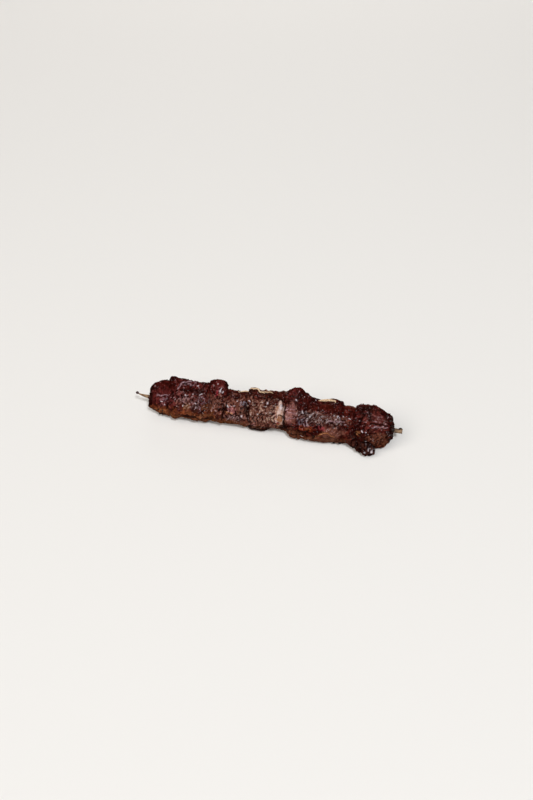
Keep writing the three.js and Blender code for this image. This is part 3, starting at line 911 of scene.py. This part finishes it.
def relief_of(points, node):
    """The height that folds, wrinkles, grain and pits add, how much crests stand out in paler colour and
    painted highlight, and where pits are
    """
    grain = GRAIN[node]
    wandering = warp(points, *PATTERNS["wander"])
    drawn = along_grain(wandering, grain.along)
    fold = ridges(wandering, *PATTERNS["fold"])
    wrinkle = ridges(drawn, grain.cell, **WRINKLE)
    wrinkle *= BREAK_LEFT + (1 - BREAK_LEFT) * level(points, "break")
    small = ridges(warp(points, *PATTERNS["small wander"]), *PATTERNS["small"])
    fine = noise(drawn, *PATTERNS["fine"])
    pit = level(wandering, "pit")
    rough = ROUGHNESS[0] + ROUGHNESS[1] * level(points, "rough")
    height = grain.wrinkles * (wrinkle - MEAN["wrinkle"]) + SMALL_DEPTH * (small - MEAN["small"])
    height = rough * (height - PIT_DEPTH * pit)
    height += grain.folds * (fold - MEAN["fold"]) + FINE_DEPTH * fine
    height -= PORE_DEPTH * rough * level(drawn, "pore")
    crest = CREST_PARTS["wrinkle"] * wrinkle + CREST_PARTS["small"] * small * wrinkle
    crest += CREST_PARTS["fine"] * fine - CREST_PARTS["pit"] * pit
    return height, np.clip(crest, 0, 1), pit * rough


def crag_height(points, place, masks):
    """The height that a craggy place adds. Its char and grey go into the masks, in place of the brown."""
    distance = np.linalg.norm(points - place.middle, axis=1)
    near = smooth_step(place.reach, place.reach * CRAG_CORE, distance)
    crag = noise(warp(points, *PATTERNS["crag wander"]), *PATTERNS["crag"])
    split = CRAG_SPLIT["deep"] * smooth_step(*CRAG_SPLIT["levels"], -crag)
    hollow = smooth_step(*CRAG_HOLLOW["levels"], crag)
    char = 1 - CRAG_HOLLOW["char"] + CRAG_HOLLOW["char"] * hollow
    masks["char"] = np.maximum(masks["char"], place.char * near * char)
    masks["grey"] = np.maximum(masks["grey"], place.grey * near)
    masks["brown"] = masks["brown"] * (1 - place.char * near)
    return near * place.rough * (crag + CRAG_RISE - split)


def store(mesh, name, values):
    attribute = mesh.attributes.new(name, "FLOAT", "POINT")
    attribute.data.foreach_set("value", np.clip(values, 0, 1).astype(np.float32))


CREASE_REACH = 0.22  # the depth below its surroundings at which the painted shade in a crease is darkest
CREASE_ROUNDS = 14  # how wide those surroundings are
CREASE_MOST = 0.97  # how dark the painted shade may get
SEAM_SHADE = 0.35  # how dark the painted shade at the seams is
PIT_SHADE = 0.85  # how dark the painted shade in the pits is
INSIDE = (0.6, 0.1)  # how near the outside the meat at a seam begins to darken with painted shade, and where it is dark in full
CALM = {"fat": 0.9, "brown": 0.45, "smooth": 0.85}  # how much of the relief each tone takes away
CALM_MOST = 0.85  # how much of it they take away together, at most
FAT_CREST = 0.8  # how much less the crests show on the fat
FREE_HEIGHT = 3  # how high a bump may be on the outside


def knit(points, skin):
    """The points lifted out of grooves, the way out, and how near the outside each one is, up to 1"""
    radius, missing = skin
    size = np.hypot(points[:, 1], points[:, 2])
    out = np.stack([0 * size, points[:, 1], points[:, 2]], axis=1) / np.maximum(size, 0.1)[:, None]
    outer = smooth_step(*SKIN_DEPTH, on_grid(radius, points) - size)
    share = SKIN_FILL[0] + SKIN_FILL[1] * noise(points, *PATTERNS["groove"])
    return points + out * (share * outer * on_grid(missing, points))[:, None], out, outer


def closed_up(points, edges, node, skin):
    """A piece's points smoothed and drawn up to its neighbours, their gap, and the rest of what knit gives"""
    points = smoothed(points, edges, SMOOTHING["rounds"], SMOOTHING["share"])
    others = tree_of(solids_of([name for name in frame["nodes"] if name != node]))
    ways, gap = way_to(others, points, SEAM_REACH)
    points, out, outer = knit(points, skin)
    touching = outer * smooth_step(SEAM_TOUCH, SEAM_TOUCH / 2, gap)
    points = points + ways * (SEAM_DRAW * touching)[:, None]
    return smoothed(points, edges, SEAM_ROUNDS, SMOOTHING["share"]), gap, out, outer


def dress(node, materials, skin):
    """A piece of beef: its solid with a fine surface, the tones stored on it, and its material"""
    piece = remeshed(node, f"dressed_{node}")
    mesh = piece.data
    edges = edges_of(mesh)
    base, gap, out, outer = closed_up(coordinates(mesh), edges, node, skin)
    set_coordinates(mesh, base)
    at_seam = smooth_step(SEAM_REACH, SEAM_REACH / 4, gap)
    direction = normals_of(mesh) * (1 - at_seam)[:, None] + out * at_seam[:, None]
    masks = tone_masks(base)
    height, crest, pit = relief_of(base, node)
    calm = 1 - np.minimum(CALM_MOST, sum(share * masks[tone] for tone, share in CALM.items()))
    height = height * calm + draw_lines(base, masks)
    if node in CRAGS:
        height += crag_height(base, CRAGS[node], masks)
    height = np.minimum(height, SEAM_GAP_SHARE * gap + FREE_HEIGHT * outer)
    moved = base + direction * height[:, None]
    moved[:, 2] = np.maximum(moved[:, 2], -AXIS_HEIGHT)
    set_coordinates(mesh, moved)
    hollow = smoothed(height, edges, CREASE_ROUNDS, 1.0) - height
    # Painted shade: in creases, in pits, at the seams, and deep inside them
    creases = [
        smooth_step(0, CREASE_REACH, hollow) * np.sqrt(calm),
        PIT_SHADE * pit * calm,
        SEAM_SHADE * at_seam * level(base, "seam"),
        smooth_step(*INSIDE, outer) * at_seam,
    ]
    for tone, mask in masks.items():
        store(mesh, tone, mask)
    store(mesh, "crease", CREASE_MOST * np.maximum.reduce(creases))
    store(mesh, "crest", crest * (1 - FAT_CREST * masks["fat"]))
    slot = frame_slot(node)
    mesh.materials.append(materials[slot])
    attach(piece, "root")
    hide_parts(node)
    return mesh


def frame_slot(node):
    """The material slot that the record gives a node"""
    return next(part["material_slot"] for part in frame["record"]["subparts"] if part["node"] == node)


# The skewer and the small things on it

BAMBOO = {"pale": (0.76, 0.54, 0.33), "dark": (0.52, 0.31, 0.15), "stain": (0.05, 0.018, 0.01)}
BAMBOO_SHINE = 0.35
STREAK = {"cell": 0.5, "detail": 4, "colour": (0.36, 0.62), "roughness": (0.3, 0.7, 0.5, 0.72)}
FIBRE_STRETCH = (0.03, 1, 1)  # draws the bamboo's streaks out along the skewer
BAMBOO_BUMP = Bump(0.25, 3, 0.08, 0.7, FIBRE_STRETCH)
# "even" is how evenly the rings are spread: below 1 they draw together towards the ends
SKEWER = {"rings": 420, "around": 40, "even": 0.35, "thinner": 0.04, "least": 0.02}
# The fibres are noise on a rod that is shorter and thicker than the skewer, so they run along it
FIBRE = {"depth": 0.07, "along": 0.02, "size": 4}
KNIFE = {"from": 14, "full": 2, "facets": 5, "depth": 0.1}  # the facets that the knife left at the point
BROKEN_END = {"from": 0.8, "depth": 0.5, "finer": 3, "mean": 0.3, "middle": 0.3}  # the rough blunt end
POINT_BEND = {"from": 11, "back": 1.2, "up": 1.2}  # the same stray of the point as in the solid
POINT_LENGTH = 14
POINT_PROFILE = [(0, 0), (0.05, 0.2), (0.55, 0.72), (1, 1)]  # shares of the point's length and of the radius
STAIN = (0.75, 0.25)  # how strongly juice and char have stained the skewer, and how much that varies


def bamboo_material():
    material, graph = new_material("bamboo")
    streak = graph.noise(STREAK["cell"], STREAK["detail"], FIBRE_STRETCH)
    colour = graph.mix(graph.range(streak, *STREAK["colour"]), BAMBOO["pale"], BAMBOO["dark"])
    colour = graph.mix(graph.attribute("stain"), colour, BAMBOO["stain"])
    graph.paint(colour, graph.range(streak, *STREAK["roughness"]))
    graph.feed(graph.shader.inputs["Specular IOR Level"], BAMBOO_SHINE)
    graph.bump(BAMBOO_BUMP)
    return material


def bent(points):
    """The points with the skewer's stray end bent out of line"""
    bend = np.maximum(0, 1 - points[:, 0] / POINT_BEND["from"]) ** 2
    return points + np.stack([0 * bend, POINT_BEND["back"] * bend, POINT_BEND["up"] * bend], axis=1)


def mesh_object(name, points, faces, material, slot):
    """A piece made from points in the skewer's frame"""
    mesh = bpy.data.meshes.new(name)
    mesh.from_pydata([(0, 0, 0)] * len(points), [], faces)
    set_coordinates(mesh, np.asarray(points, float))
    mesh.polygons.foreach_set("use_smooth", np.ones(len(mesh.polygons), bool))
    mesh.materials.append(material)
    piece = new_object(name, mesh)
    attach(piece, "root")
    return piece


def tube_faces(rings, around):
    """The faces of a tube with its two ends closed to a last point each"""
    faces = []
    for ring in range(rings - 1):
        for step in range(around):
            beside = (step + 1) % around
            a, b = ring * around + step, ring * around + beside
            faces.append((a, b, b + around, a + around))
    first, last = rings * around, rings * around + 1
    for step in range(around):
        beside = (step + 1) % around
        faces.append((first, beside, step))
        faces.append((last, (rings - 1) * around + step, (rings - 1) * around + beside))
    return faces


def ring_grid(along, around):
    """The place and the angle of each point of a tube's rings"""
    turn = np.linspace(0, 2 * math.pi, around, endpoint=False)
    return (grid.ravel() for grid in np.meshgrid(along, turn, indexing="ij"))


def make_skewer(material):
    share = np.linspace(0, 1, SKEWER["rings"])
    along = LENGTH * (SKEWER["even"] * share + (1 - SKEWER["even"]) * smooth_step(0, 1, share))
    at, angle = ring_grid(along, SKEWER["around"])
    across, up = -np.cos(angle), np.sin(angle)
    rod = np.stack([FIBRE["along"] * at, -FIBRE["size"] * across, FIBRE["size"] * up], axis=1)
    profile = np.array(POINT_PROFILE)
    size = RADIUS * np.interp(at / POINT_LENGTH, profile[:, 0], profile[:, 1])
    cut = smooth_step(KNIFE["from"], KNIFE["full"], at) * KNIFE["depth"] * np.cos(KNIFE["facets"] * angle)
    fibre = np.abs(FIBRE["depth"] * noise(rod, *PATTERNS["fibre"])) * np.minimum(1, size)
    size = np.maximum(size * (1 + cut - SKEWER["thinner"]) - fibre, SKEWER["least"])
    rough = noise(rod * BROKEN_END["finer"], *PATTERNS["broken end"]) - BROKEN_END["mean"]
    rough *= BROKEN_END["depth"] * smooth_step(LENGTH - BROKEN_END["from"], LENGTH, at)
    points = np.stack([np.minimum(at + rough, LENGTH), across * size, up * size], axis=1)
    points = np.vstack([points, [(0, 0, 0), (LENGTH - BROKEN_END["middle"], 0, 0)]])
    faces = tube_faces(SKEWER["rings"], SKEWER["around"])
    piece = mesh_object("dressed_skewer", bent(points), faces, material, "bamboo")
    store(piece.data, "stain", STAIN[0] + STAIN[1] * noise(points, *PATTERNS["mottle"]))
    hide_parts("skewer")


BEAD = {"middle": (0.3, 1.2, 1.5), "radii": (1.25, 1.05, 0.95), "rings": 18, "around": 26}
BEAD_LUMPS = {"rough": 0.16, "seed": 7}
CURL = {"from": 1.5, "across": (-0.4, 0.1), "up": 0.5, "radius": 1.25, "smaller": 0.35, "thickness": 0.5}
CURL_TURN = {"start": 0.4, "turn": 1.3 * math.pi, "rings": 30, "around": 10, "end": 0.08, "inside": 0.1}
BALL_LUMP = 0.8  # the size of a ball's lumps, for a ball of radius 1
TUBE_UP = (0.13, 0.31, 0.94)  # no tube runs this way, so its sides can be measured from it
# The glossy small pieces: their darkest and lightest colour, and the roughness where they are smoothest
GLOSS = {
    "dark_juice": ((0.02, 0.004, 0.003), (0.07, 0.012, 0.008), 0.22),
    "char": ((0.006, 0.004, 0.003), (0.03, 0.016, 0.012), 0.35),
    "pale_strand": ((0.46, 0.28, 0.15), (0.80, 0.60, 0.40), 0.4),
}
GLOSS_MOTTLE = Mottle(0.8, 3, 0.35, 0.65)
GLOSS_RANGE = 0.2  # how much rougher they get
GLOSS_BUMP = Bump(0.3, 3, 0.06, 0.7)


def ball(radii, rings, around, rough, seed):
    """A lumpy ball's points, around its own middle, and its faces"""
    height = np.linspace(-1, 1, rings + 2)[1:-1]
    up, angle = ring_grid(np.sin(height * math.pi / 2), around)
    wide = np.sqrt(1 - up**2)
    points = np.stack([wide * np.cos(angle), -wide * np.sin(angle), up], axis=1)
    points = np.vstack([points, [(0, 0, -1), (0, 0, 1)]])
    lumps = 1 + rough * noise(points + seed, BALL_LUMP, seed)
    return points * lumps[:, None] * np.array(radii), tube_faces(rings, around)


def gloss_material(name):
    dark, light, roughness = GLOSS[name]
    material, graph = new_material(name)
    colour = graph.mix(graph.mottle(GLOSS_MOTTLE), dark, light)
    graph.paint(colour, graph.mottle(Mottle(0.6, 2, 0.3, 0.7, roughness, roughness + GLOSS_RANGE)))
    graph.bump(GLOSS_BUMP)
    return material


def make_bead(material):
    points, faces = ball(BEAD["radii"], BEAD["rings"], BEAD["around"], **BEAD_LUMPS)
    mesh_object("bead", points + np.array(BEAD["middle"]), faces, material, "charred_beef")


def tube_along(path, radii, around):
    """A thin tube's points and faces along a path"""
    path = np.asarray(path, float)
    tangent = np.gradient(path, axis=0)
    tangent /= np.linalg.norm(tangent, axis=1)[:, None]
    side = np.cross(tangent, TUBE_UP)
    side /= np.linalg.norm(side, axis=1)[:, None]
    other = np.cross(tangent, side)
    turn = np.linspace(0, 2 * math.pi, around, endpoint=False)
    ring = np.cos(turn)[None, :, None] * side[:, None] + np.sin(turn)[None, :, None] * other[:, None]
    points = path[:, None] + ring * np.asarray(radii)[:, None, None]
    return np.vstack([points.reshape(-1, 3), path[:1], path[-1:]]), tube_faces(len(path), around)


def taper(share, end):
    """Little at the two ends of a path, and 1 at its middle"""
    return np.sin(math.pi * (end + (1 - 2 * end) * share))


def make_curl(material):
    """The dark curled shaving on the blunt end"""
    share = np.linspace(0, 1, CURL_TURN["rings"])
    turn = share * CURL_TURN["turn"] + CURL_TURN["start"]
    size = CURL["radius"] * (1 - CURL["smaller"] * share)
    at = np.minimum(LENGTH - CURL["from"] + size * np.cos(turn), LENGTH - CURL_TURN["inside"])
    across = np.interp(share, (0, 1), CURL["across"])
    path = np.stack([at, across, RADIUS + CURL["up"] + size * np.sin(turn)], axis=1)
    points, faces = tube_along(path, CURL["thickness"] * taper(share, CURL_TURN["end"]), CURL_TURN["around"])
    mesh_object("curl", points, faces, material, "charred_beef")


# Thin pale strands that lie on the meat: the place and angle of each one's ends, its width, how it bows and
# waves, how far it stands off the meat, how many rounds of smoothing straighten it, and its seed
Strand = namedtuple("Strand", "start end width bow wave lift stiff seed")
STRANDS = [
    Strand((76.5, 122), (88.5, 125), 0.9, 1, 1.6, 0.9, 6, 3),
    Strand((86, 124), (97.5, 112), 1.25, 7, 1.0, 1.0, 12, 5),
    Strand((95, 120), (103.5, 121), 0.8, 1, 1.6, 0.8, 6, 8),
    Strand((137, 130), (149.6, 126), 2.1, 0, 0.2, 0.9, 500, 9),
    Strand((148.9, 127), (149.5, 121), 1.1, 0, 0, 0.4, 50, 9),
]
STRAND = {"rings": 46, "around": 8, "cell": 4.0, "end": 0.04, "blunt": 0.6, "lift": 0.25}
FAR_OUTSIDE = 60  # farther out than any of the meat


def surface_at(tree, at, angle, lift):
    """The point of the meat's surface at a place along and around the skewer, lifted off it"""
    out = outwards(angle)
    hit = tree.ray_cast(metres(at) + out * FAR_OUTSIDE * MM, -out)[0]
    return None if hit is None else in_skewer_frame(hit + out * lift * MM)


def joined(shapes):
    """The points and faces of several shapes as those of one"""
    points, faces = [], []
    for more, more_faces in shapes:
        faces.extend(tuple(index + len(points) for index in face) for face in more_faces)
        points.extend(more)
    return points, faces


def strand_shape(tree, strand):
    share = np.linspace(0, 1, STRAND["rings"])
    at, angle = (np.interp(share, (0, 1), ends) for ends in zip(strand.start, strand.end))
    waves = np.stack([at, 0 * at + strand.seed, 0 * at], axis=1)
    bow = taper(share, 0)
    angle = angle + strand.bow * bow + strand.wave * noise(waves, STRAND["cell"], strand.seed)
    lift = strand.lift * bow + STRAND["lift"] * strand.width
    path = np.array([surface_at(tree, *place) for place in zip(at, angle, lift)])
    for _ in range(strand.stiff):
        path[1:-1] = (path[:-2] + 2 * path[1:-1] + path[2:]) / 4
    radii = strand.width * taper(share, STRAND["end"]) ** STRAND["blunt"] / 2
    return tube_along(path, radii, STRAND["around"])


def make_strands(tree, material):
    shapes = [strand_shape(tree, strand) for strand in STRANDS]
    mesh_object("strands", *joined(shapes), material, "seared_beef")


# Larger charred bits at the outline: place, angle and size
BITS = [
    (191.7, 22, 1.7), (192.4, 62, 1.6), (192.6, 50, 1.9), (190.4, 84, 1.4), (187.6, 100, 1.1),
    (191.5, 2, 1.6), (152, -38, 1.2), (156.5, -36, 1.0), (13.2, 100, 0.9), (14.5, 112, 1.0),
    (12.6, 82, 0.8), (20.5, -30, 1.1), (12.4, 30, 0.7), (192.6, 120, 1.0), (191.9, 150, 1.1),
    (12.8, 150, 0.9), (191.3, 190, 1.0),
]
CRUMBS = {"count": 260, "at": (14, 192), "angle": (-25, 205), "size": (0.2, 0.7), "lift": 0.15, "seed": 41}
CRUMB = {"radii": (0.45, 1), "rings": 4, "around": 7, "rough": 0.6}  # its radii are shares of its size


def make_crumbs(tree, material):
    """Char crumbs stuck to the crust, over the whole meat, and the larger bits at its outline"""
    draw = np.random.default_rng(CRUMBS["seed"])
    ranges = [CRUMBS[key] for key in ("at", "angle", "size")]
    places = [[draw.uniform(*limits) for limits in ranges] for _ in range(CRUMBS["count"])]
    shapes = []
    for seed, (at, angle, size) in enumerate(places + BITS):
        middle = surface_at(tree, at, angle, CRUMBS["lift"] * size)
        if middle is not None:
            radii = size * draw.uniform(*CRUMB["radii"], 3)
            points, faces = ball(radii, CRUMB["rings"], CRUMB["around"], CRUMB["rough"], seed)
            shapes.append((points + middle, faces))
    mesh_object("crumbs", *joined(shapes), material, "charred_beef")


def main():
    make_camera()
    make_lights()
    make_room()
    make_floor()
    materials = {name: beef_material(name, *tones) for name, tones in BASES.items()}
    beef = [node for node in frame["nodes"] if node != "skewer"]
    skin = skin_of(beef)
    tree = tree_of([dress(node, materials, skin) for node in beef])
    make_skewer(bamboo_material())
    make_bead(gloss_material("dark_juice"))
    char = gloss_material("char")
    make_curl(char)
    make_crumbs(tree, char)
    make_strands(tree, gloss_material("pale_strand"))


main()
